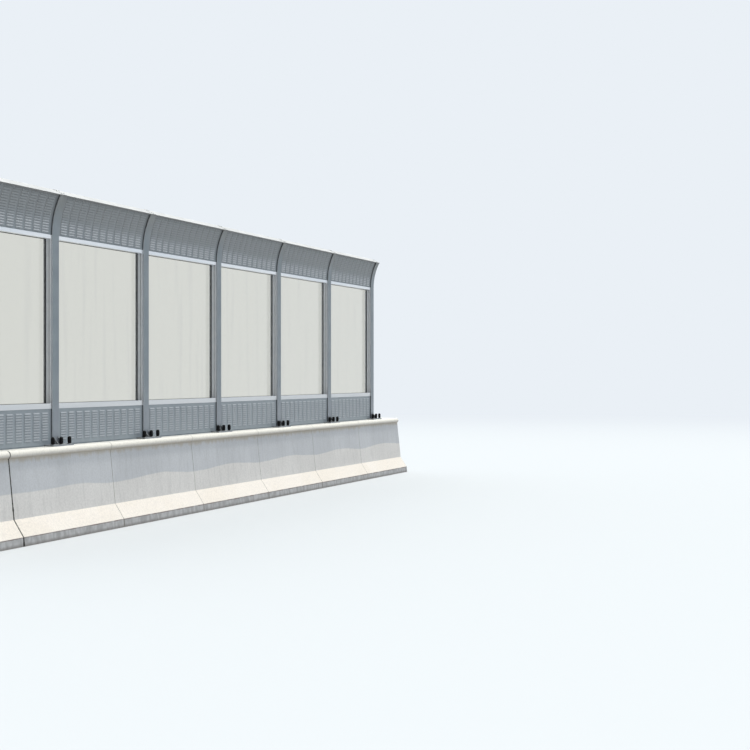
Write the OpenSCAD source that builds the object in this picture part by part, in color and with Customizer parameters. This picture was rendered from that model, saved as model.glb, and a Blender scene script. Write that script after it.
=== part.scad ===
// Highway noise barrier: six bays of curved-head steel posts on a concrete parapet.
// Each bay stacks a louvred panel, a clear pane in a frame, a curved louvred panel and a top cap.
// X runs along the barrier, its front is on the -Y side, and Z = 0 is the deck under the parapet.
// The Y origin is the centre line of the posts.

/* [Bays] */
// Distance from one post to the next, and length of one parapet block
bay_pitch = 2000; // [1400:50:2600]

/* [Parapet] */
// Height of the upright kerb at the foot
kerb_h = 95; // [60:5:130]
// Foot of the kerb face, in front of the post line
kerb_front = 387; // [340:1:440]
// How far the kerb face leans back over its height
kerb_batter = 7; // [0:1:20]
// Height of the top of the sloping toe
toe_top_z = 265; // [200:5:350]
// Top of the toe, in front of the post line
toe_front = 267; // [240:1:300]
// Wall face just under the lip, in front of the post line
face_front = 198; // [185:1:210]
// Foremost point of the rounded lip, in front of the post line
lip_front = 224; // [215:1:240]
// Radius of the rounded lip
lip_r = 45; // [35:1:55]
// Back face, behind the post line
parapet_back = 210; // [190:5:260]
// Height of the flat top
parapet_h = 960; // [700:10:1300]
// Bevel on the rear top edge
edge_bevel = 15; // [5:1:30]
// Width of the open joint between two castings
joint_gap = 20; // [10:1:40]
// Depth of the filler board behind the surface of the open joint
filler_recess = 25; // [10:1:30]
// Width of the shallow grooves between blocks of one casting
groove_w = 8; // [4:1:20]
// Depth of those grooves
groove_d = 12; // [5:1:25]
// How far the block joints lie to the left of the middles of the bays
joint_shift = 90; // [0:10:400]

/* [Posts] */
// Width of the H-section's flanges
flange_w = 125; // [100:5:150]
// Depth of the H-section, front to back
post_depth = 125; // [120:1:160]
// Thickness of the flanges
flange_t = 9; // [6:0.5:11]
// Thickness of the web
web_t = 6.5; // [5:0.5:10]
// Radius of the rolled fillet between web and flange
root_r = 9; // [5:1:11]

/* [Base plates] */
// Size of the base plate along the barrier
plate_w = 400; // [320:10:480]
// Size of the base plate across the barrier
plate_d = 325; // [300:5:340]
// Thickness of the base plate
plate_t = 15; // [10:1:30]
// Reach of a gusset out from the flange
gusset_reach = 60; // [40:5:80]
// Height of a gusset
gusset_h = 83; // [60:1:120]
// Thickness of a gusset
gusset_t = 8; // [6:1:12]
// Distance of each gusset from the middle of the post
gusset_offset = 46; // [35:1:54]
// Height of the square nose at a gusset's outer end
gusset_nose = 12; // [5:1:20]

/* [Panels] */
// Height of the lower louvred panel
lower_panel_h = 387; // [300:1:600]
// Thickness of the rubber strips between a post's front flange and the panels
strip_t = 11.5; // [10:0.5:20]
// Width of those strips
strip_w = 30; // [15:1:35]
// How far the strips lie back from the edge of the flange
strip_inset = 6; // [2:1:12]
// Clearance between the back of a panel and the post's rear flange
panel_clear = 0.5; // [0.5:0.5:5]
// Gap between the post's web and the end of a panel or frame
end_gap = 12; // [12:1:20]

/* [Louvres] */
// Length of one louvre
louvre_len = 121; // [80:1:180]
// Width of the plain strip between two columns of louvres
louvre_gap = 42.5; // [30:0.5:80]
// Height of the sloping top of a louvre's hood
slope_h = 11; // [8:0.5:13]
// How far the hood stands out at the foot of its slope
slope_out = 6.5; // [4:0.5:7.5]
// Height of the steep front of the hood, under the slope
front_h = 7; // [4:0.5:8]
// How far the hood stands out at its lower edge
hood_out = 8.5; // [8:0.5:10]
// Height of the slot's mouth below the hood
mouth_h = 3; // [2:0.5:4]
// Depth of the slot behind the panel's face
slot_in = 6; // [4:0.5:12]
// Distance between rows on the lower panels
lower_row_pitch = 28.4; // [27:0.1:40]
// Plain band above the top row on the lower panels
lower_head_band = 39; // [15:1:60]
// Least plain band under the bottom row on the lower panels
lower_foot_band = 40; // [20:1:60]
// Distance between rows on the curved panels, along the curve
curved_row_pitch = 28.2; // [27:0.1:40]
// Plain band under the bottom row on the curved panels
curved_foot_band = 16.5; // [8:0.5:60]
// Least plain band above the top row on the curved panels
curved_head_band = 20; // [8:1:60]

/* [Glazing] */
// Height of the glazing frame
frame_h = 1875; // [1000:5:2400]
// Depth of the glazing frame, centred between the flanges
frame_d = 100; // [80:1:101]
// Height of the frame's lower rail
lower_rail_h = 57; // [40:1:90]
// Height of the frame's upper rail
upper_rail_h = 41; // [35:1:90]
// Part of the frame's stile that shows past the post flange
stile_sight = 13; // [5:1:40]
// Thickness of the clear pane
glass_t = 15; // [8:1:20]
// Length of the pane's edge held in the frame
glass_bite = 10; // [6:1:20]
// Thickness of the rubber channel round the pane
gasket_t = 6; // [3:0.5:8]
// How far the rubber channel stands proud of the frame's inner faces
gasket_proud = 4; // [2:0.5:8]
// Front of the rubber channel, behind the post line
gasket_y = 14; // [0:1:20]

/* [Curved head] */
// Radius of the curve at the post's centre line
arc_r = 990; // [800:10:1500]
// Angle through which the head turns towards the front
arc_angle = 27.7; // [15:0.1:40]

/* [Top cap] */
// Thickness of the cap's sheet
cap_t = 3; // [1.5:0.5:4]
// Length of the cap's turned-down lips
cap_lip = 10; // [6:1:30]
// Clearance between the cap's lips and the post
cap_clear = 1; // [0.5:0.5:3]
// Length by which one cap laps over the next at a post
cap_lap = 40; // [20:5:60]

/* [Hidden] */
bays = 6;
posts = bays + 1;
$fn = 64;

concrete = [0.78, 0.78, 0.76];
filler_board = [0.16, 0.15, 0.14];
galvanised = [0.52, 0.56, 0.60];
panel_paint = [0.50, 0.54, 0.57];
mill_aluminium = [0.82, 0.84, 0.85];
pane_tint = [0.80, 0.88, 0.86, 0.35];
rubber = [0.08, 0.08, 0.09];

cut = 1;
hood_root = 2;
plate_top = parapet_h + plate_t;
frame_z = plate_top + lower_panel_h;
spring_z = frame_z + frame_h;
end_inset = web_t / 2 + end_gap;
stile_inset = flange_w / 2 + stile_sight;
opening_z = frame_z + lower_rail_h;
opening_h = frame_h - lower_rail_h - upper_rail_h;
gasket_d = glass_t + 2 * gasket_t;
rebate = glass_bite + gasket_t;
flange_inside = post_depth / 2 - flange_t;
panel_front = flange_inside - strip_t;
panel_d = panel_front + flange_inside - panel_clear;
panel_w = bay_pitch - 2 * end_inset;
hood_h = slope_h + front_h;
louvre_h = hood_h + mouth_h;
column_pitch = louvre_len + louvre_gap;
side_band = flange_w / 2 - end_inset + louvre_gap;
columns = floor((panel_w - 2 * side_band + louvre_gap) / column_pitch);
first_column = (panel_w - columns * column_pitch + louvre_gap) / 2;
lower_bands = lower_head_band + lower_foot_band;
lower_rows = floor((lower_panel_h - lower_bands - louvre_h) / lower_row_pitch) + 1;
curve_len = (arc_r - panel_front) * arc_angle * PI / 180;
curved_bands = curved_foot_band + curved_head_band;
curved_rows = floor((curve_len - curved_bands - louvre_h) / curved_row_pitch) + 1;

// Place of post i along the barrier, and of the joint line j between parapet blocks
function post_x(i) = (i - (posts + 1) / 2) * bay_pitch;
function joint_x(j) = (j - posts / 2) * bay_pitch - joint_shift;

// A flat drawing, with Y to the right and Z up, extruded along the barrier from x0 to x1
module along_barrier(x0, x1) {
    translate([x0, 0, 0])
        rotate([90, 0, 90])
            linear_extrude(height = x1 - x0)
                children();
}

// A block that spans bay i, held back by inset from both post centre lines
module bay_block(i, inset, y0, d, z0, h) {
    translate([post_x(i) + inset, y0, z0])
        cube([bay_pitch - 2 * inset, d, h]);
}

// A flat drawing, with radius to the right and width up, swept round the curve of the head
module round_head(x0) {
    translate([x0, -arc_r, spring_z])
        rotate([90, 0, 90])
            rotate_extrude(angle = arc_angle)
                translate([arc_r, 0])
                    children();
}

// A flat drawing set on the end plane of the curved head, with radius to the right
module on_head_end() {
    translate([-arc_r, spring_z])
        rotate(arc_angle)
            translate([arc_r, 0])
                children();
}

// Straight-edged outline of the parapet, taken in from its open faces by inset
module parapet_outline(inset) {
    top = parapet_h - inset;
    back = parapet_back - inset;
    polygon([
        [back, 0],
        [inset - kerb_front, 0],
        [inset - kerb_front + kerb_batter, kerb_h],
        [inset - toe_front, toe_top_z],
        [inset - face_front, parapet_h - lip_r],
        [lip_r - lip_front, top],
        [back - edge_bevel, top],
        [back, top - edge_bevel]
    ]);
}

// Cross-section of the parapet: the outline and the rounded lip along its front
module parapet_profile(inset) {
    parapet_outline(inset);
    translate([lip_r - lip_front, parapet_h - lip_r])
        circle(r = lip_r - inset);
}

// One casting from joint line j0 to j1, grooved at the joint lines between
module parapet_casting(j0, j1, start_gap, end_gap) {
    x0 = joint_x(j0) + start_gap;
    x1 = joint_x(j1) - end_gap;
    color(concrete) {
        along_barrier(x0, x1)
            parapet_profile(groove_d);
        for (j = [j0:j1 - 1]) {
            block_x0 = max(x0, joint_x(j) + groove_w / 2);
            block_x1 = min(x1, joint_x(j + 1) - groove_w / 2);
            along_barrier(j == j0 ? x0 : block_x0, j == j1 - 1 ? x1 : block_x1)
                parapet_profile(0);
        }
    }
}

// The one-block casting at the left end, up to the open joint
module parapet_short_casting() {
    parapet_casting(0, 1, 0, joint_gap / 2);
}

// The casting that carries the other posts
module parapet_long_casting() {
    parapet_casting(1, posts, joint_gap / 2, 0);
}

// The compressible board in the open joint, cut straight and set back from every open face
module joint_filler() {
    color(filler_board)
        along_barrier(joint_x(1) - joint_gap / 2, joint_x(1) + joint_gap / 2)
            parapet_outline(filler_recess);
}

// Cross-section of the rolled post, with its depth to the right and its flanges up
module post_profile() {
    for (side = [-1, 1]) {
        translate([side * (post_depth - flange_t) / 2, 0])
            square([flange_t, flange_w], center = true);
        for (face = [-1, 1])
            translate([side * (flange_inside - root_r / 2), face * (web_t + root_r) / 2])
                difference() {
                    square(root_r, center = true);
                    translate([-side * root_r / 2, face * root_r / 2])
                        circle(r = root_r);
                }
    }
    square([2 * flange_inside, web_t], center = true);
}

// Triangular plate between the front flange and the base plate
module gusset(x) {
    foot = post_depth / 2;
    along_barrier(x - gusset_t / 2, x + gusset_t / 2)
        polygon([
            [-foot, plate_top],
            [-foot, plate_top + gusset_h],
            [-foot - gusset_reach, plate_top + gusset_nose],
            [-foot - gusset_reach, plate_top]
        ]);
}

// Post i: base plate, gussets on both sides, straight shaft and curved head
module post(i) {
    color(galvanised)
        translate([post_x(i), 0, 0]) {
            translate([-plate_w / 2, -plate_d / 2, parapet_h])
                cube([plate_w, plate_d, plate_t]);
            for (x = [-gusset_offset, gusset_offset]) {
                gusset(x);
                mirror([0, 1, 0])
                    gusset(x);
            }
            translate([0, 0, plate_top])
                linear_extrude(height = spring_z - plate_top)
                    rotate(90)
                        post_profile();
            round_head(0)
                post_profile();
        }
}

// The sealing strips under the lower panels, between the base plates
module bottom_seals() {
    color(rubber)
        for (i = [1:bays])
            bay_block(i, plate_w / 2, -panel_front, panel_d, parapet_h, plate_t);
}

// The rubber strips between the front flanges and the ends of both louvred panels
module panel_strips() {
    strip_x = flange_w / 2 - strip_inset;
    color(rubber)
        for (i = [1:bays])
            for (x = [post_x(i) + strip_x - strip_w, post_x(i + 1) - strip_x]) {
                translate([x, -flange_inside, plate_top])
                    cube([strip_w, strip_t, lower_panel_h]);
                round_head(x)
                    translate([-flange_inside, 0])
                        square([strip_t, strip_w]);
            }
}

// Side view of one hood, pressed out to the right from the sheet, with its top at the origin
module louvre_hood() {
    polygon([
        [-hood_root, 0],
        [0, 0],
        [slope_out, -slope_h],
        [hood_out + cut * (hood_out - slope_out) / front_h, -hood_h - cut],
        [-hood_root, -hood_h - cut]
    ]);
}

// Side view of the slot, which trims the hood's lower edge and opens past the face of the sheet
module louvre_slot() {
    ceiling_fall = front_h / (hood_out + slot_in);
    floor_fall = (louvre_h - slope_h) / slot_in;
    polygon([
        [hood_out + 2 * cut, -hood_h - 2 * cut * ceiling_fall],
        [-slot_in, -slope_h],
        [cut, -louvre_h - cut * floor_fall],
        [hood_out + 2 * cut, -louvre_h - cut * floor_fall]
    ]);
}

// A side view repeated on every louvre of a row, whose place is set by the caller
module along_columns(i) {
    for (c = [0:columns - 1]) {
        x0 = post_x(i) + end_inset + first_column + c * column_pitch;
        along_barrier(x0, x0 + louvre_len)
            children();
    }
}

// Puts a side view of a louvre on each row of a lower panel
module lower_row_places() {
    for (row = [0:lower_rows - 1])
        translate([-panel_front, frame_z - lower_head_band - row * lower_row_pitch])
            mirror([1, 0])
                children();
}

// Puts a side view of a louvre on each row of a curved panel
module curved_row_places() {
    face_r = arc_r - panel_front;
    for (row = [0:curved_rows - 1])
        translate([-arc_r, spring_z])
            rotate((curved_foot_band + louvre_h + row * curved_row_pitch) / face_r * 180 / PI)
                translate([face_r, 0])
                    mirror([1, 0])
                        children();
}

// Lower louvred panel of bay i, standing on the base plates
module lower_panel(i) {
    color(panel_paint)
        difference() {
            union() {
                bay_block(i, end_inset, -panel_front, panel_d, plate_top, lower_panel_h);
                along_columns(i)
                    lower_row_places()
                        louvre_hood();
            }
            along_columns(i)
                lower_row_places()
                    louvre_slot();
        }
}

// A block as wide and high as the opening in the frame of bay i, grown all round by margin
module opening_block(i, margin, y0, d) {
    bay_block(i, stile_inset - margin, y0, d, opening_z - margin, opening_h + 2 * margin);
}

// Glazing frame of bay i, rebated all round for the rubber channel
module glazing_frame(i) {
    color(mill_aluminium)
        difference() {
            bay_block(i, end_inset, -frame_d / 2, frame_d, frame_z, frame_h);
            opening_block(i, 0, -frame_d / 2 - cut, frame_d + 2 * cut);
            opening_block(i, rebate, gasket_y, gasket_d);
        }
}

// The rubber channels round the panes
module glazing_gaskets() {
    color(rubber)
        for (i = [1:bays])
            difference() {
                opening_block(i, rebate, gasket_y, gasket_d);
                opening_block(i, -gasket_proud, gasket_y - cut, gasket_d + 2 * cut);
                opening_block(i, glass_bite, gasket_y + gasket_t, glass_t);
            }
}

// Clear pane of bay i, with its edges in the rubber channel
module glass_pane(i) {
    color(pane_tint)
        opening_block(i, glass_bite, gasket_y + gasket_t, glass_t);
}

// Curved louvred panel of bay i, between the curved heads of two posts
module curved_panel(i) {
    color(panel_paint)
        difference() {
            union() {
                round_head(post_x(i) + end_inset)
                    translate([-panel_front, 0])
                        square([panel_d, panel_w]);
                along_columns(i)
                    curved_row_places()
                        louvre_hood();
            }
            along_columns(i)
                curved_row_places()
                    louvre_slot();
        }
}

// Cross-section of a cap that fits over a width of 2 * half, with sheet t thick from level t0
module cap_profile(half, t0, t) {
    difference() {
        translate([-half - t, -cap_lip])
            square([2 * (half + t), cap_lip + t0 + t]);
        translate([-half, -cap_lip - cut])
            square([2 * half, cap_lip + cut + t0]);
    }
}

// Top cap of bay i, with a raised end that laps over the cap before it and is doubled on its own side
module top_cap(i) {
    half = post_depth / 2 + cap_clear;
    x0 = post_x(i) - (i == 1 ? flange_w / 2 : 0);
    x1 = post_x(i + 1) + (i == bays ? flange_w / 2 : 0);
    color(mill_aluminium) {
        along_barrier(x0, x1)
            on_head_end()
                cap_profile(half, 0, cap_t);
        if (i > 1) {
            along_barrier(x0 - cap_lap, x0 + cap_lap / 2)
                on_head_end()
                    cap_profile(half + cap_t, cap_t, cap_t);
            along_barrier(x0, x0 + cap_lap)
                on_head_end()
                    cap_profile(half, 0, 2 * cap_t);
        }
    }
}

parapet_short_casting();
parapet_long_casting();
joint_filler();
bottom_seals();
panel_strips();
glazing_gaskets();
for (i = [1:posts]) post(i);
for (i = [1:bays]) lower_panel(i);
for (i = [1:bays]) glazing_frame(i);
for (i = [1:bays]) glass_pane(i);
for (i = [1:bays]) curved_panel(i);
for (i = [1:bays]) top_cap(i);
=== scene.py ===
import math

import bmesh
import bpy
import numpy as np
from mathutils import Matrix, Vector


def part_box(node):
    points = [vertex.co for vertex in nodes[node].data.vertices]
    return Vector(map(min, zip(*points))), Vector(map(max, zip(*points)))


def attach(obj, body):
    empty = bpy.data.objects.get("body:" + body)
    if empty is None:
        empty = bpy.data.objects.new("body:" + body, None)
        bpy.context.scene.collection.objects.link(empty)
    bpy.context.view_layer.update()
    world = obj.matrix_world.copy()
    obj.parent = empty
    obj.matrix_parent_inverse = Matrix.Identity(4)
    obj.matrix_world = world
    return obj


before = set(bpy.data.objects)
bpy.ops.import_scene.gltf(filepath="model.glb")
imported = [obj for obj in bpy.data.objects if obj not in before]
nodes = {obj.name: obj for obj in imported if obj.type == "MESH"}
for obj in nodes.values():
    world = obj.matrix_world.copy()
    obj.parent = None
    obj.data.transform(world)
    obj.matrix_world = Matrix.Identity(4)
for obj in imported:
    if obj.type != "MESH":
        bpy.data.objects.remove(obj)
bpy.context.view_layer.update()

# The parapet: reinforced concrete cast in long lengths against smooth forms, with a rounded lip,
# a steep wall, a sloping toe and a short kerb. The wall is painted with light and shade: bluish grey
# above a wavy line as the lip's shadow, and pale and warm below it as sunlight. Dirt hangs under the
# lip, and the kerb is grey with grime and scuffed brown at its edge.


def put(tree, kind, inputs=None, **settings):
    """Adds one node. settings are its properties, inputs its values or the sockets that feed them."""
    node = tree.nodes.new(kind)
    for key, value in settings.items():
        setattr(node, key, value)
    for key, value in (inputs or {}).items():
        if isinstance(value, bpy.types.NodeSocket):
            tree.links.new(value, node.inputs[key])
        else:
            node.inputs[key].default_value = value
    return node


def effect(name, inputs, outputs):
    """An empty node group with named float or vector sockets, and its input and output nodes."""
    group = bpy.data.node_groups.new(name, "ShaderNodeTree")
    for label, default in inputs.items():
        kind = "NodeSocketVector" if default is None else "NodeSocketFloat"
        socket = group.interface.new_socket(label, in_out="INPUT", socket_type=kind)
        if default is not None:
            socket.default_value = default
    for label in outputs:
        group.interface.new_socket(label, in_out="OUTPUT", socket_type="NodeSocketFloat")
    return group, group.nodes.new("NodeGroupInput").outputs, group.nodes.new("NodeGroupOutput").inputs


def sums(tree, operation, a, b=0.0):
    """The output of one Math node on two values or sockets."""
    return put(tree, "ShaderNodeMath", {0: a, 1: b}, operation=operation).outputs[0]


def times(tree, a, b):
    """One value multiplied by another."""
    return sums(tree, "MULTIPLY", a, b)


def graded(tree, value, low, high, to_low=0.0, to_high=1.0):
    """value carried smoothly from the range low to high onto the range to_low to to_high."""
    inputs = {"Value": value, "From Min": low, "From Max": high, "To Min": to_low, "To Max": to_high}
    return put(tree, "ShaderNodeMapRange", inputs, interpolation_type="SMOOTHSTEP").outputs[0]


def axes_of(tree, vector):
    """The three parts of a vector, in order or by the names X, Y and Z."""
    return put(tree, "ShaderNodeSeparateXYZ", {0: vector}).outputs


def stretched(tree, vector, x, y, z):
    """The vector with its three parts each multiplied by a number."""
    return put(tree, "ShaderNodeVectorMath", {0: vector, 1: (x, y, z)}, operation="MULTIPLY").outputs[0]


def noise(tree, vector, scale, detail=2.0):
    """Soft random clouds, about 0.5 in the mean and 1 / scale wide, with finer ones added by detail."""
    inputs = {"Vector": vector, "Scale": scale, "Detail": detail}
    return put(tree, "ShaderNodeTexNoise", inputs).outputs[0]


def mixed(tree, factor, a, b):
    """Colour a covered by colour b by a factor."""
    return put(tree, "ShaderNodeMix", {0: factor, 6: a, 7: b}, data_type="RGBA").outputs[2]


def clouded(tree, body, a, b):
    """A colour that wanders between a and b with the coarse clouds of a grain."""
    return mixed(tree, graded(tree, body["Clouds"], 0.35, 0.65), a, b)


def srgb(red, green, blue):
    """A colour written as the eye sees it, 0 to 255 a channel, turned into linear light."""
    shares = np.array([red, green, blue]) / 255
    linear = np.where(shares > 0.04045, ((shares + 0.055) / 1.055) ** 2.4, shares / 12.92)
    return (*linear.tolist(), 1.0)


def finish_of(name, **plain):
    """A new material with one Principled shader, plain values on its sockets, and its Object coordinates."""
    material = bpy.data.materials.new(name)
    material.use_nodes = True
    tree = material.node_tree
    shader = tree.nodes["Principled BSDF"]
    for key, value in plain.items():
        shader.inputs[key.replace("_", " ")].default_value = value
    place = tree.nodes.new("ShaderNodeTexCoord").outputs["Object"]
    return material, tree, shader, place


def facing_of(tree):
    """The way that the surface faces, in the object's own axes."""
    return tree.nodes.new("ShaderNodeTexCoord").outputs["Normal"]


def apply_effect(tree, group, **inputs):
    """Places an effect in a material, with this material's own values, and returns its outputs."""
    return put(tree, "ShaderNodeGroup", inputs, node_tree=group).outputs


def connect(tree, shader, colour, roughness, height, depth):
    """Feeds a shader its colour and roughness, and a normal from a height times a depth in metres."""
    bump = put(tree, "ShaderNodeBump", {"Height": height, "Distance": depth}).outputs[0]
    for key, socket in (("Base Color", colour), ("Roughness", roughness), ("Normal", bump)):
        tree.links.new(socket, shader.inputs[key])


def coat(material, *names):
    """Gives CAD nodes a material in all their slots."""
    for name in names:
        slots = nodes[name].data.materials
        slots.clear()
        slots.append(material)


def make_streaks():
    """Rain streaks: noise drawn out along Z and cut off below a threshold."""
    inputs = {"Place": None, "Fineness": 9.0, "Threshold": 0.5}
    group, given, result = effect("Rain streaks", inputs, ["Mask"])
    drawn_out = noise(group, stretched(group, given["Place"], 1, 1, 0.07), given["Fineness"], 5.0)
    above = sums(group, "SUBTRACT", drawn_out, given["Threshold"])
    group.links.new(graded(group, above, 0.0, 0.22), result["Mask"])
    return group


def make_grain():
    """Grain: coarse clouds and a fine speckle, both about 0.5 in the mean."""
    inputs = {"Place": None, "Coarse": 3.0, "Fine": 180.0}
    group, given, result = effect("Grain", inputs, ["Clouds", "Speckle"])
    for label, scale in (("Clouds", "Coarse"), ("Speckle", "Fine")):
        group.links.new(noise(group, given["Place"], given[scale], 4.0), result[label])
    return group


rain_streaks = make_streaks()
grain = make_grain()

kerb_top = 0.095
toe_top = 0.265
lip_foot = 0.88
block_length = 2.0
open_joint = -5.09
groove_half = 0.004
shadow_edge_level = 0.513
shadow_edge_wave = 0.020
shadow_edge_drift = 0.03
calm_length = 1.4

concrete, tree, shader, place = finish_of("Weathered concrete")
along, across, height_up = axes_of(tree, place)
faced = axes_of(tree, facing_of(tree))
end_face = sums(tree, "ABSOLUTE", faced["X"])
front_face = times(tree, graded(tree, across, 0.0, -0.1), graded(tree, end_face, 0.7, 0.5))
body = apply_effect(tree, grain, Place=place, Coarse=1.6, Fine=48.0)

# The painted shadow's edge drifts slowly up and down, and right of the open joint it waves once in each
# block. Above it the wall is painted bluish grey as shade, below it pale and warm as sunlight.
wave = sums(tree, "COSINE", times(tree, along, 2 * math.pi / block_length))
wave = times(tree, wave, graded(tree, along, open_joint, open_joint + calm_length, 0.0, shadow_edge_wave))
drift = times(tree, noise(tree, stretched(tree, place, 1.3, 0, 0), 1.0), shadow_edge_drift)
from_shadow_edge = sums(tree, "SUBTRACT", height_up, sums(tree, "ADD", wave, drift))
in_painted_shadow = graded(tree, from_shadow_edge, shadow_edge_level - 0.012, shadow_edge_level + 0.006)
painted_sunlit_foot = clouded(tree, body, srgb(231, 230, 229), srgb(238, 237, 236))
front = mixed(tree, in_painted_shadow, painted_sunlit_foot, clouded(tree, body, srgb(204, 208, 214), srgb(212, 216, 222)))

# Brown dirt hangs in drips under the lip. The lip itself is nearly white and warm, partly paler
# concrete and partly painted sunlight.
drips = graded(tree, noise(tree, stretched(tree, place, 1, 1, 0.1), 18.0), 0.3, 0.7, -0.014, 0.014)
hung = graded(tree, sums(tree, "ADD", height_up, drips), lip_foot - 0.06, lip_foot)
under_lip = times(tree, hung, graded(tree, height_up, lip_foot + 0.04, lip_foot + 0.005))
front = mixed(tree, times(tree, under_lip, 0.5), front, srgb(177, 161, 128))
on_lip = graded(tree, height_up, lip_foot, lip_foot + 0.045)
front = mixed(tree, on_lip, front, srgb(252, 249, 240))

# The toe is cream, partly paler concrete and partly painted sunlight, and the kerb under it is
# smudged, grimy at its foot and scuffed at its edge.
toe = clouded(tree, body, srgb(251, 243, 232), srgb(254, 247, 238))
front = mixed(tree, graded(tree, height_up, toe_top + 0.002, toe_top - 0.002), front, toe)
smudges = graded(tree, noise(tree, stretched(tree, place, 1, 1, 0.5), 16.0), 0.3, 0.7)
kerb = mixed(tree, smudges, srgb(204, 205, 208), srgb(174, 175, 177))
grime = graded(tree, height_up, kerb_top - 0.05, 0.0, 0.0, 0.75)
kerb = mixed(tree, grime, kerb, srgb(122, 117, 112))
scuffs = graded(tree, noise(tree, stretched(tree, place, 2.0, 1, 9.0), 2.5), 0.35, 0.6, 0.15, 0.75)
at_edge = graded(tree, height_up, kerb_top - 0.017, kerb_top - 0.007)
kerb = mixed(tree, times(tree, at_edge, scuffs), kerb, srgb(112, 88, 76))
front = mixed(tree, graded(tree, height_up, kerb_top + 0.002, kerb_top - 0.002), front, kerb)

# The back and the ends are plain, and the flat top is paler, partly painted sunlight.
plain = clouded(tree, body, srgb(206, 205, 201), srgb(216, 215, 212))
flat_top = clouded(tree, body, srgb(224, 223, 216), srgb(234, 233, 226))
tone = mixed(tree, front_face, plain, front)
tone = mixed(tree, graded(tree, faced["Z"], 0.9, 0.99), tone, flat_top)

# Rain streaks are strongest on the back and the ends, faint on the wall and fainter on lip and toe.
streaks = apply_effect(tree, rain_streaks, Place=place, Fineness=24.0, Threshold=0.48)["Mask"]
above_toe = graded(tree, height_up, toe_top, toe_top + 0.035)
on_wall = times(tree, above_toe, graded(tree, height_up, lip_foot + 0.02, lip_foot - 0.02))
washed = times(tree, front_face, graded(tree, on_wall, 0.0, 1.0, 0.27, 0.17))
streaks = times(tree, streaks, sums(tree, "SUBTRACT", 0.3, washed))
tone = mixed(tree, streaks, tone, srgb(150, 152, 154))

# Dirt lies thinly in the grooves between the blocks. On the kerb it is packed in and smeared wider.
from_joint = sums(tree, "PINGPONG", sums(tree, "SUBTRACT", along, open_joint), block_length / 2)
packed = graded(tree, height_up, kerb_top + 0.01, kerb_top, 0.1, 0.8)
smeared = graded(tree, height_up, kerb_top + 0.01, kerb_top, 0.0, 0.006)
from_groove = sums(tree, "SUBTRACT", from_joint, smeared)
grooved = graded(tree, from_groove, groove_half + 0.0025, groove_half)
grooved = times(tree, grooved, graded(tree, across, -0.12, -0.16))
grooved = times(tree, grooved, graded(tree, end_face, 0.99, 0.98))
tone = mixed(tree, times(tree, grooved, packed), tone, srgb(98, 88, 78))

# Air left small pits against the forms, and a fine grey speckle covers it all.
holes = put(tree, "ShaderNodeTexVoronoi", {"Vector": place, "Scale": 38.0}).outputs["Distance"]
pits = graded(tree, holes, 0.09, 0.05)
tone = mixed(tree, times(tree, pits, 0.35), tone, srgb(140, 138, 134))
tone = mixed(tree, graded(tree, body["Speckle"], 0.35, 0.65, 0.0, 0.16), tone, srgb(170, 170, 170))
rough = graded(tree, body["Speckle"], 0.3, 0.7, 0.78, 0.92)
relief = sums(tree, "SUBTRACT", times(tree, body["Speckle"], 0.4), pits)
connect(tree, shader, tone, rough, relief, 0.0015)
coat(concrete, "parapet_short_casting", "parapet_long_casting")

# The joint filler: a soft board of bitumen and fibre, pressed between the two castings. Its mouth is
# sealed with poured bitumen, which summer heat has squeezed out over the wall and the kerb.


def carried(path, across, up, section):
    """A closed section carried along a path: each ring is path + s * across + t * up over its (s, t)."""
    return path[:, None] + section[..., 0, None] * across[:, None] + section[..., 1, None] * up[:, None]


def add_piece(name, loops, material, joined=False):
    """A piece from loops of points, an array of copies x rings x points x 3. Neighbouring rings are
    joined by quads, and each end ring is closed by one face unless the last ring joins the first."""
    copies, rings, count, _ = loops.shape
    index = np.arange(copies * rings * count).reshape(copies, rings, count)
    before, after = (index, np.roll(index, -1, axis=1)) if joined else (index[:, :-1], index[:, 1:])
    corners = [before, np.roll(before, -1, axis=2), np.roll(after, -1, axis=2), after]
    faces = np.stack(corners, axis=-1).reshape(-1, 4).tolist()
    if not joined:
        faces += index[:, 0].tolist() + index[:, -1].tolist()
    mesh = bpy.data.meshes.new(name)
    mesh.from_pydata(loops.reshape(-1, 3).tolist(), [], faces)
    shell = bmesh.new()
    shell.from_mesh(mesh)
    bmesh.ops.remove_doubles(shell, verts=shell.verts, dist=1e-6)
    bmesh.ops.recalc_face_normals(shell, faces=shell.faces)
    shell.to_mesh(mesh)
    shell.free()
    mesh.shade_smooth()
    mesh.set_sharp_from_angle(angle=math.radians(40))
    mesh.materials.append(material)
    piece = bpy.data.objects.new(name, mesh)
    bpy.context.scene.collection.objects.link(piece)
    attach(piece, "root")
    return piece


def profile_path(step):
    """The front of the parapet from its foot to the top of the lip, as points (y, z) a step apart:
    three straight stretches, then an arc round the lip's centre. Returns them and the length run."""
    kerb_foot, kerb_edge, toe_edge = (-0.3869, 0.002), (-0.38, kerb_top), (-0.267, toe_top)
    lip_centre, lip_radius = np.array([-0.179, 0.915]), 0.045
    turn = np.radians(np.linspace(245, 95, 12))[:, None]
    lip = lip_centre + lip_radius * np.hstack([np.cos(turn), np.sin(turn)])
    corners = np.vstack([kerb_foot, kerb_edge, toe_edge, lip])
    reached = np.concatenate([[0], np.cumsum(np.linalg.norm(np.diff(corners, axis=0), axis=1))])
    stations = np.arange(0, reached[-1], step)
    return np.stack([np.interp(stations, reached, corners[:, k]) for k in (0, 1)], axis=-1), stations


filler, tree, shader, place = finish_of("Bitumen fibre board")
body = apply_effect(tree, grain, Place=stretched(tree, place, 1, 1, 0.4), Coarse=9.0, Fine=260.0)
tone = mixed(tree, body["Speckle"], srgb(28, 27, 26), srgb(58, 54, 50))
connect(tree, shader, tone, graded(tree, body["Clouds"], 0.3, 0.7, 0.8, 0.95), body["Speckle"], 0.002)
coat(filler, "joint_filler")

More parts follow.
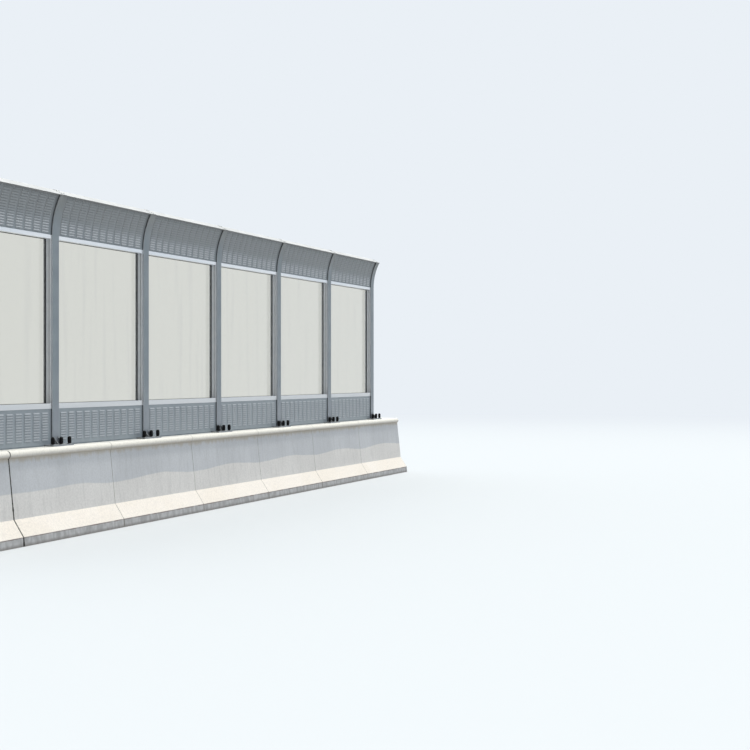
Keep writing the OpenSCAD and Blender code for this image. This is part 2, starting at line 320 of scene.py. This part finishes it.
gap_half, seal_depth, mouth_depth = 0.0098, 0.024, 0.007
spill, swelling, ragged_swelling, edge_drop = 0.006, 0.0008, 0.0012, 0.0015
seal_line, stations = profile_path(step=0.012)
outward = np.gradient(seal_line, axis=0)[:, ::-1] * (-1, 1)
outward /= np.linalg.norm(outward, axis=1, keepdims=True)

# On the wall and the kerb the bitumen is squeezed out, with edges that wander by two waves between
# none and all of the spill. On the lip and the toe it stays back in the mouth of the joint.
heights = seal_line[:, 1]
ragged = 0.5 + 0.3 * np.sin(31 * stations + 1) + 0.2 * np.sin(83 * stations)
below_lip, below_edge = (lip_foot + 0.02 - heights) / 0.03, (kerb_top - heights) / 0.01
squeezed_out = np.clip(np.where(heights > toe_top, below_lip, below_edge), 0, 1)
half_width = gap_half + squeezed_out * ragged * spill
crown = squeezed_out * (mouth_depth + swelling + ragged * ragged_swelling) - mouth_depth

# The seal's section has six points: root, edge and crown on the left, then crown, edge and root on
# the right. The roots lie deep in the gap, and the crown is narrower than the edges.
root_width, root_level = np.full_like(crown, gap_half), np.full_like(crown, -seal_depth)
sides = np.array([-1, -1, -0.6, 0.6, 1, 1])
widths = np.stack([root_width, half_width], axis=-1)[:, [0, 1, 1, 1, 1, 0]] * sides
levels = np.stack([root_level, crown - edge_drop, crown], axis=-1)[:, [0, 1, 2, 2, 1, 0]]
path = np.column_stack([np.full_like(heights, open_joint), seal_line])
away = np.column_stack([np.zeros_like(heights), outward])
seal = carried(path, np.tile([1.0, 0, 0], (len(path), 1)), away, np.stack([widths, levels], axis=-1))
add_piece("joint_bitumen", seal[None], filler)

# The posts: rolled H-sections, bent at the head, welded to a gusseted base plate and dipped in zinc.
# Fillet welds run round the foot of the section, and along each gusset on the plate and the flange.


def make_dust_and_light():
    """Pale where a face looks up, from the lower to the upper slope, broken by fine noise: settled dust, and
    partly painted light.
    """
    inputs = {"Place": None, "Facing": None, "Lower": 0.2, "Upper": 0.7}
    group, given, result = effect("Dust and painted light", inputs, ["Mask"])
    lying = graded(group, axes_of(group, given["Facing"])["Z"], given["Lower"], given["Upper"])
    broken = graded(group, noise(group, given["Place"], 40.0, 3.0), 0.2, 0.6, 0.6, 1.0)
    group.links.new(times(group, lying, broken), result["Mask"])
    return group


dust_and_light_on_tops = make_dust_and_light()

bays = sum(name.startswith("lower_panel_") for name in nodes)
bay_pitch = 2.0
post_places = (np.arange(bays + 1) - bays / 2) * bay_pitch
post_names = [f"post_{i + 1}" for i in range(bays + 1)]
low_shade_top = 1.04
bleach_full, bleach_none = 1.15, 1.7
head_dark_none, head_dark_full = 3.3, 3.65

zinc, tree, shader, place = finish_of("Weathered zinc", Metallic=0.2)
_, across, height_up = axes_of(tree, place)
endways = sums(tree, "ABSOLUTE", axes_of(tree, facing_of(tree))["X"])
body = apply_effect(tree, grain, Place=place, Coarse=5.0, Fine=240.0)
streaks = apply_effect(tree, rain_streaks, Place=place, Fineness=30.0, Threshold=0.5)["Mask"]
dust_and_painted_light = apply_effect(tree, dust_and_light_on_tops, Place=place, Facing=facing_of(tree), Lower=0.3, Upper=0.7)["Mask"]
crystals = put(tree, "ShaderNodeTexVoronoi", {"Vector": place, "Scale": 55.0}).outputs["Color"]
spangle = put(tree, "ShaderNodeSeparateColor", {0: crystals}).outputs[0]
tone = clouded(tree, body, srgb(134, 145, 154), srgb(144, 154, 162))
tone = mixed(tree, times(tree, spangle, 0.1), tone, srgb(176, 184, 190))
tone = mixed(tree, times(tree, streaks, 0.15), tone, srgb(116, 124, 131))

# The front flange's side edges carry a painted highlight. The foot is bleached, the head is darker and
# browner, partly a stain and partly painted shade under the cap, and the base is painted dark as
# shade, most on the sides.
in_front_flange = graded(tree, across, -0.05, -0.054)
painted_highlight_edge = times(tree, graded(tree, endways, 0.8, 0.95), in_front_flange)
tone = mixed(tree, times(tree, painted_highlight_edge, 0.8), tone, srgb(206, 210, 214))
bleached_foot = graded(tree, height_up, bleach_none, bleach_full, 0.0, 0.3)
tone = mixed(tree, bleached_foot, tone, srgb(174, 175, 184))
stained_and_shaded_head = graded(tree, height_up, head_dark_none, head_dark_full, 0.0, 0.4)
tone = mixed(tree, stained_and_shaded_head, tone, srgb(136, 130, 120))
side_shade_share = graded(tree, endways, 0.5, 0.9, 0.25, 0.85)
painted_low_shade = times(tree, graded(tree, height_up, low_shade_top + 0.04, low_shade_top), side_shade_share)
painted_low_shade = times(tree, painted_low_shade, graded(tree, body["Clouds"], 0.3, 0.6, 0.7, 1.0))
tone = mixed(tree, painted_low_shade, tone, srgb(70, 72, 76))
# Faces that look up, such as the gussets' sloping edges, are paler: settled dust and partly painted light.
tone = mixed(tree, times(tree, dust_and_painted_light, 0.7), tone, srgb(196, 196, 192))
connect(tree, shader, tone, graded(tree, spangle, 0.0, 1.0, 0.46, 0.6), body["Speckle"], 0.0003)
coat(zinc, *post_names)

plate_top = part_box("lower_panel_1")[0].z
flange, web, depth, flange_thickness, weld_leg = 0.125, 0.0065, 0.125, 0.009, 0.006
inside = depth / 2 - flange_thickness
quarter = np.array([(flange / 2, depth / 2), (flange / 2, inside), (web / 2, inside)])
outline = np.vstack([quarter, quarter[::-1] * (1, -1), -quarter, quarter[::-1] * (-1, 1)])

# The foot weld is mitred: each corner moves out along the normals of both its edges. The bead's
# section, in units of its leg, bulges in front and is sunk a little into both plates.
edges = np.roll(outline, -1, axis=0) - outline
edges /= np.linalg.norm(edges, axis=1, keepdims=True)
normals = edges[:, ::-1] * (-1, 1)
mitre = normals + np.roll(normals, 1, axis=0)
bead = weld_leg * np.array([[-0.3, -0.1], [1, -0.1], [0.72, 0.36], [0.36, 0.72], [-0.3, 1.0]])
foot = np.column_stack([outline, np.full(len(outline), plate_top)])
outward = np.column_stack([mitre, np.zeros(len(mitre))])
foot_weld = carried(foot, outward, np.tile([0, 0, 1.0], (len(foot), 1)), bead)
at_posts = np.column_stack([post_places, np.zeros((bays + 1, 2))])
add_piece("post_foot_welds", foot_weld[None] + at_posts[:, None, None], zinc, joined=True)

gusset_places = (-0.046, 0.046)
gusset_half, gusset_reach, gusset_height = 0.004, 0.060, 0.083
corners = [(gusset, side, face) for gusset in gusset_places for side in (-1, 1) for face in (-1, 1)]
gusset_beads = []
for gusset, side, face in corners:
    corner = np.array([gusset + side * gusset_half, face * depth / 2, plate_top])
    sideways = np.tile([side, 0, 0], (2, 1))
    out_on_plate = ((0, face * gusset_reach, 0), (0, 0, 1.0))
    up_the_flange = ((0, 0, gusset_height), (0, face, 0))
    for run, rising in (out_on_plate, up_the_flange):
        line = corner + np.array([(0, 0, 0), run])
        gusset_beads.append(carried(line, sideways, np.tile(rising, (2, 1)), bead))
gusset_welds = (np.array(gusset_beads)[None] + at_posts[:, None, None, None]).reshape(-1, 2, len(bead), 3)
add_piece("gusset_welds", gusset_welds, zinc)

# The anchors: six bolts cast into the parapet hold each base plate, three in front and three behind.
# A round steel washer lies on the plate, and a moulded black cap is pushed over the nut and bolt end.


def turned(profile, segments):
    """A profile of radii and heights turned round Z: radius * (cos a, sin a) at each height."""
    radii, heights = np.array(profile).T
    turn = np.linspace(0, 2 * np.pi, segments, endpoint=False)
    circles = radii[:, None, None] * np.stack([np.cos(turn), np.sin(turn)], axis=-1)
    return np.concatenate([circles, np.tile(heights[:, None, None], (1, segments, 1))], axis=-1)


def domed(radius, foot, top, rings):
    """The profile of a dome: radii radius * cos a, at heights foot + (top - foot) * sin a."""
    rise = np.radians(np.linspace(0, 90, rings))
    return np.column_stack([radius * np.cos(rise), foot + (top - foot) * np.sin(rise)])


bolt_along, bolt_across = 0.165, 0.130
spots = np.array([(x, y) for x in (-bolt_along, 0, bolt_along) for y in (-bolt_across, bolt_across)])
anchors = (post_places[:, None, None] * (1, 0) + spots).reshape(-1, 2)
anchors = np.column_stack([anchors, np.full(len(anchors), plate_top)])[:, None, None]

washer_radius, washer_thickness, washer_edge = 0.028, 0.005, 0.0008
washer = [(0, 0), (washer_radius, 0), (washer_radius, washer_thickness - washer_edge)]
washer += [(washer_radius - washer_edge, washer_thickness), (0, washer_thickness)]
add_piece("anchor_washers", turned(washer, segments=24) + anchors, zinc)

cap_plastic, tree, shader, place = finish_of("Black cap plastic", Specular_IOR_Level=0.15)
body = apply_effect(tree, grain, Place=place, Coarse=12.0, Fine=260.0)
dust_and_painted_light = apply_effect(tree, dust_and_light_on_tops, Place=place, Facing=facing_of(tree), Lower=0.4, Upper=1.0)["Mask"]
tone = mixed(tree, body["Clouds"], srgb(4, 4, 6), srgb(12, 12, 15))
tone = mixed(tree, times(tree, dust_and_painted_light, 0.12), tone, srgb(96, 92, 86))
connect(tree, shader, tone, graded(tree, body["Clouds"], 0.3, 0.7, 0.5, 0.65), body["Speckle"], 0.0002)

cap_radius, cap_wall_top, cap_height = 0.0215, 0.058, 0.079
skirt = [(0, 0), (cap_radius - 0.006, 0), (cap_radius - 0.002, 0.007), (cap_radius, 0.018)]
dome = domed(cap_radius, cap_wall_top, cap_height, rings=6)
anchor_cap = turned(np.vstack([skirt, dome]), segments=16) + (0, 0, washer_thickness)
add_piece("anchor_caps", anchor_cap + anchors, cap_plastic)

# The rubber parts: strips of grey sponge under the panels, squeezed between them and the concrete,
# and extrusions of solid black rubber, as strips behind the flanges and as channels round the panes.

rubber, tree, shader, place = finish_of("Dusty rubber")
body = apply_effect(tree, grain, Place=place, Coarse=6.0, Fine=300.0)
tone = mixed(tree, graded(tree, body["Clouds"], 0.4, 0.7), srgb(16, 16, 19), srgb(36, 36, 38))
dusty_in_front = graded(tree, axes_of(tree, place)["Y"], -0.03, -0.035, 0.0, 0.5)
tone = mixed(tree, dusty_in_front, tone, srgb(96, 98, 102))
connect(tree, shader, tone, graded(tree, body["Speckle"], 0.3, 0.7, 0.6, 0.75), body["Speckle"], 0.0004)
coat(rubber, "panel_strips", "glazing_gaskets")

sponge, tree, shader, place = finish_of("Grey sponge")
body = apply_effect(tree, grain, Place=place, Coarse=7.0, Fine=420.0)
tone = clouded(tree, body, srgb(124, 134, 143), srgb(138, 147, 156))
pores = graded(tree, body["Speckle"], 0.42, 0.3, 0.0, 0.4)
tone = mixed(tree, pores, tone, srgb(84, 90, 96))
connect(tree, shader, tone, graded(tree, body["Speckle"], 0.3, 0.7, 0.8, 0.95), body["Speckle"], 0.001)
coat(sponge, "bottom_seals")

# The louvred panels: cassettes of painted aluminium sheet round a core of mineral wool, with rows of
# hoods punched out of the front. Pale dust on the hoods, palest under the cap, is partly painted sky
# light, and the curved panels are painted darker as shade, most where they look down.

column_pitch, hood_half = 0.1635, 0.0605
shelter_none, shelter_full = 1.4, 3.2

panel_paint, tree, shader, place = finish_of("Grey panel paint")
along, _, height_up = axes_of(tree, place)
faced = axes_of(tree, facing_of(tree))
body = apply_effect(tree, grain, Place=place, Coarse=2.2, Fine=320.0)
streaks = apply_effect(tree, rain_streaks, Place=place, Fineness=26.0, Threshold=0.5)["Mask"]
dust_and_painted_light = apply_effect(tree, dust_and_light_on_tops, Place=place, Facing=facing_of(tree), Lower=0.29, Upper=0.42)["Mask"]
sheltered = graded(tree, height_up, shelter_none, shelter_full)
tone = clouded(tree, body, srgb(152, 162, 171), srgb(160, 170, 178))
# Painted shade: the curved panels under the cap are darker, and browner where their faces look down.
tone = mixed(tree, times(tree, sheltered, 0.24), tone, srgb(118, 126, 134))
tone = mixed(tree, times(tree, streaks, 0.12), tone, srgb(130, 138, 144))
looking_down = graded(tree, faced["Z"], 0.0, -0.35, 0.0, 0.3)
tone = mixed(tree, looking_down, tone, srgb(112, 108, 104))

# Painted light: the hoods' ends are pale, most near the cap, and the highest slopes are paler, partly a film
# of dust.
painted_light_on_ends = graded(tree, sums(tree, "ABSOLUTE", faced["X"]), 0.6, 0.9)
painted_light_on_ends = times(tree, painted_light_on_ends, graded(tree, height_up, 3.3, 3.45, 0.5, 1.0))
tone = mixed(tree, painted_light_on_ends, tone, srgb(232, 234, 236))
upper_slopes = times(tree, graded(tree, faced["Z"], -0.2, 0.1), graded(tree, height_up, 3.35, 3.5))
tone = mixed(tree, times(tree, upper_slopes, 0.28), tone, srgb(196, 194, 190))

# The dust and painted light thin out from the middle of each hood to its ends, in columns. On the back they
# are even.
from_bay_middle = sums(tree, "PINGPONG", sums(tree, "ADD", along, bay_pitch / 2), bay_pitch / 2)
from_column_middle = sums(tree, "PINGPONG", from_bay_middle, column_pitch / 2)
at_ends = graded(tree, sheltered, 0.0, 1.0, 0.3, 0.7)
on_hoods = graded(tree, from_column_middle, hood_half, hood_half - 0.026, at_ends, 1.0)
dust_and_painted_light = times(tree, dust_and_painted_light, graded(tree, sheltered, 0.0, 1.0, 0.95, 1.0))
dust_and_painted_light = times(tree, dust_and_painted_light, graded(tree, faced["Y"], 0.3, 0.1, 0.35, on_hoods))
tone = mixed(tree, dust_and_painted_light, tone, mixed(tree, sheltered, srgb(208, 212, 217), srgb(239, 243, 248)))
connect(tree, shader, tone, graded(tree, body["Clouds"], 0.3, 0.7, 0.42, 0.55), body["Speckle"], 0.0002)
lower_names = [f"lower_panel_{i + 1}" for i in range(bays)]
curved_names = [f"curved_panel_{i + 1}" for i in range(bays)]
coat(panel_paint, *lower_names, *curved_names)

# The glazing frames: pale anodised aluminium sections, cut square and joined by blind rivets through
# the front and back faces of the rails. A fine joint runs down the inner side of each stile, where
# the bead that holds the pane snaps in.


def leaned(points, angle):
    """Points turned about the X axis by an angle: y cos - z sin, and y sin + z cos."""
    x, y, z = np.moveaxis(points, -1, 0)
    cosine, sine = math.cos(angle), math.sin(angle)
    return np.stack([x, y * cosine - z * sine, y * sine + z * cosine], axis=-1)


def round_head(radius, height):
    """The head of a rivet or screw: a quarter ellipse turned about Z, closed flat underneath."""
    return turned(np.vstack([(0, 0), domed(radius, 0, height, rings=4)]), segments=10)


bead_line, bead_half = -0.026, 0.003
dust_full, dust_none = 1.4, 1.6

anodised, tree, shader, place = finish_of("Pale anodised aluminium", Metallic=0.6)
_, across, height_up = axes_of(tree, place)
endways = sums(tree, "ABSOLUTE", axes_of(tree, facing_of(tree))["X"])
body = apply_effect(tree, grain, Place=stretched(tree, place, 0.05, 1, 1), Coarse=14.0, Fine=400.0)
tone = clouded(tree, body, srgb(236, 241, 247), srgb(245, 248, 252))
dusty_foot = graded(tree, height_up, dust_none, dust_full, 0.0, 0.4)
tone = mixed(tree, dusty_foot, tone, srgb(182, 180, 178))
# Painted shade: the sides of the sections are darker and bluer.
painted_shade_sides = graded(tree, endways, 0.5, 0.8, 0.0, 0.5)
tone = mixed(tree, painted_shade_sides, tone, srgb(176, 180, 190))
from_bead = sums(tree, "ABSOLUTE", sums(tree, "SUBTRACT", across, bead_line))
bead_joint = graded(tree, from_bead, bead_half + 0.001, bead_half)
bead_joint = times(tree, bead_joint, graded(tree, endways, 0.5, 0.8))
tone = mixed(tree, times(tree, bead_joint, 0.7), tone, srgb(86, 84, 86))
relief = sums(tree, "SUBTRACT", times(tree, body["Speckle"], 0.05), bead_joint)
connect(tree, shader, tone, graded(tree, body["Speckle"], 0.3, 0.7, 0.36, 0.5), relief, 0.002)
frame_names = [f"glazing_frame_{i + 1}" for i in range(bays)]
coat(anodised, *frame_names)

lower_rail, upper_rail, rivet_inset = 0.057, 0.041, 0.1
frame_low, frame_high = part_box("glazing_frame_1")
rail_levels = (frame_low.z + lower_rail / 2, frame_high.z - upper_rail / 2)
ends = np.concatenate([post_places[:-1] + rivet_inset, post_places[1:] - rivet_inset])
rivet = round_head(radius=0.0045, height=0.0018)
rivets = []
for face, y in ((1, frame_low.y), (-1, frame_high.y)):
    spots = np.array([(x, y, z) for x in ends for z in rail_levels])
    rivets.append(leaned(rivet, face * math.pi / 2) + spots[:, None, None])
add_piece("frame_rivets", np.concatenate(rivets), anodised)

# The panes: clear acrylic sheet, cast and polished, with its edges held in the rubber channels of the
# frames. Rain has drawn the film of dust on it into faint streaks.

pane, tree, shader, place = finish_of("Clear acrylic", Transmission_Weight=1.0, IOR=1.49)
streaks = apply_effect(tree, rain_streaks, Place=place, Fineness=8.0, Threshold=0.5)["Mask"]
tone = mixed(tree, streaks, srgb(230, 226, 214), srgb(226, 222, 211))
tree.links.new(tone, shader.inputs["Base Color"])
tree.links.new(graded(tree, streaks, 0.0, 1.0, 0.0, 0.03), shader.inputs["Roughness"])

# Light from the sun and the sky passes straight through the sheet, so it throws only a faint shadow.
lamp_rays = tree.nodes.new("ShaderNodeLightPath").outputs["Is Shadow Ray"]
through = put(tree, "ShaderNodeBsdfTransparent", {"Color": srgb(238, 236, 230)}).outputs[0]
shown = put(tree, "ShaderNodeMixShader", {0: lamp_rays, 1: shader.outputs[0], 2: through}).outputs[0]
tree.links.new(shown, tree.nodes["Material Output"].inputs["Surface"])
pane_names = [f"glass_pane_{i + 1}" for i in range(bays)]
coat(pane, *pane_names)

# The top caps: folded white aluminium sheet, each lapped over the one before it and held down at
# every post with four pan-head screws.

cap_white, tree, shader, place = finish_of("White cap sheet", Specular_IOR_Level=0.3)
body = apply_effect(tree, grain, Place=place, Coarse=3.0, Fine=350.0)
# Painted shade: faces that look down, such as the front lip, are dark grey.
painted_shade_below = graded(tree, axes_of(tree, facing_of(tree))["Z"], -0.1, -0.4, 0.0, 0.85)
tone = clouded(tree, body, srgb(210, 211, 210), srgb(220, 221, 220))
tone = mixed(tree, painted_shade_below, tone, srgb(104, 106, 110))
connect(tree, shader, tone, graded(tree, body["Clouds"], 0.3, 0.7, 0.35, 0.5), body["Speckle"], 0.0001)
cap_names = [f"top_cap_{i + 1}" for i in range(bays)]
coat(cap_white, *cap_names)

head_radius, head_angle, cap_sheet = 0.990, math.radians(27.7), 0.003
screw_along, screw_across = 0.022, 0.036
lapped = np.arange(bays + 1) % bays != 0
seats = zip(post_places, np.where(lapped, 2 * cap_sheet, cap_sheet))
spots = [(x, y) for x in (-screw_along, screw_along) for y in (-screw_across, screw_across)]
screws = np.array([(post + x, head_radius + y, top) for post, top in seats for x, y in spots])
heads = leaned(round_head(radius=0.008, height=0.006) + screws[:, None, None], head_angle)
add_piece("cap_screws", heads + (0, -head_radius, frame_high.z), zinc)

# The stage isn't part of the barrier: a plain pale floor that fades into a pale background, under a
# soft sky and a weak sun high up. The background shows to the camera, in gloss and through the panes.


def seen_rays(tree):
    """1 for camera rays and for what is seen in gloss or through a pane, else 0."""
    rays = tree.nodes.new("ShaderNodeLightPath").outputs
    seen = sums(tree, "MAXIMUM", rays["Is Camera Ray"], rays["Is Glossy Ray"])
    return sums(tree, "MAXIMUM", seen, rays["Is Transmission Ray"])


background = srgb(234, 240, 246)
floor_half, fade_start, fade_end = 400.0, 14.0, 45.0

floor_paint, tree, shader, place = finish_of("Pale floor", Roughness=0.9)
paint = mixed(tree, seen_rays(tree), srgb(168, 166, 163), srgb(212, 216, 219))
tree.links.new(paint, shader.inputs["Base Color"])
distance = put(tree, "ShaderNodeVectorMath", {0: place}, operation="LENGTH").outputs["Value"]
faded = times(tree, graded(tree, distance, fade_start, fade_end), seen_rays(tree))
haze = put(tree, "ShaderNodeEmission", {"Color": background}).outputs[0]
shown = put(tree, "ShaderNodeMixShader", {0: faded, 1: shader.outputs[0], 2: haze}).outputs[0]
tree.links.new(shown, tree.nodes["Material Output"].inputs["Surface"])

floor_corners = [(x * floor_half, y * floor_half, 0.0) for x, y in ((-1, -1), (1, -1), (1, 1), (-1, 1))]
floor_mesh = bpy.data.meshes.new("floor")
floor_mesh.from_pydata(floor_corners, [], [(0, 1, 2, 3)])
floor_mesh.materials.append(floor_paint)
floor = bpy.data.objects.new("floor", floor_mesh)
bpy.context.scene.collection.objects.link(floor)

world = bpy.data.worlds.new("Daylight")
world.use_nodes = True
bpy.context.scene.world = world
tree = world.node_tree

# The sky's light is strongest overhead, weakest below the horizon, and leans towards the far end.
sky_foot, sky_crown, sky_lean = 0.51, 0.95, 0.6
sky_blue = (0.92, 0.97, 1.0, 1.0)
ways = axes_of(tree, tree.nodes.new("ShaderNodeTexCoord").outputs["Generated"])
upward = graded(tree, ways["Z"], -0.2, 1.0, sky_foot, sky_crown)
endward = sums(tree, "ADD", times(tree, ways["X"], sky_lean), 1.0)
level = times(tree, upward, endward)
sky = put(tree, "ShaderNodeBackground", {"Color": sky_blue, "Strength": level}).outputs[0]
backdrop = put(tree, "ShaderNodeBackground", {"Color": background, "Strength": 1.0}).outputs[0]
shown = put(tree, "ShaderNodeMixShader", {0: seen_rays(tree), 1: sky, 2: backdrop}).outputs[0]
tree.links.new(shown, tree.nodes["World Output"].inputs["Surface"])

sun_lamp = bpy.data.lights.new("sun", "SUN")
sun_lamp.energy = 1.9
sun_lamp.angle = math.radians(5)
sun_lamp.color = (1.0, 0.97, 0.92)
sunlight = Vector((-0.25, 0.06, -1.0))
sun = bpy.data.objects.new("sun", sun_lamp)
sun.rotation_mode = "QUATERNION"
sun.rotation_quaternion = sunlight.to_track_quat("-Z", "Y")
bpy.context.scene.collection.objects.link(sun)

# The camera stands at eye height, left of the barrier and in front of it, and looks level along it.
# The heading is its turn from the barrier's length, and the focal length is in pixels of the picture.

image_size = 750
focal_px = 1448.0
sensor_mm = 36.0
heading = math.radians(19.947)
eye = (-17.5602, -8.6605, 1.7255)
lens = bpy.data.cameras.new("camera")
lens.sensor_width = sensor_mm
lens.lens = focal_px / image_size * sensor_mm
lens.clip_end = 1000.0
ahead = Vector((math.cos(heading), math.sin(heading), 0.0))
camera = bpy.data.objects.new("camera", lens)
camera.location = eye
camera.rotation_mode = "QUATERNION"
camera.rotation_quaternion = ahead.to_track_quat("-Z", "Y")
bpy.context.scene.collection.objects.link(camera)
bpy.context.scene.camera = camera
bpy.context.scene.view_settings.view_transform = "Standard"
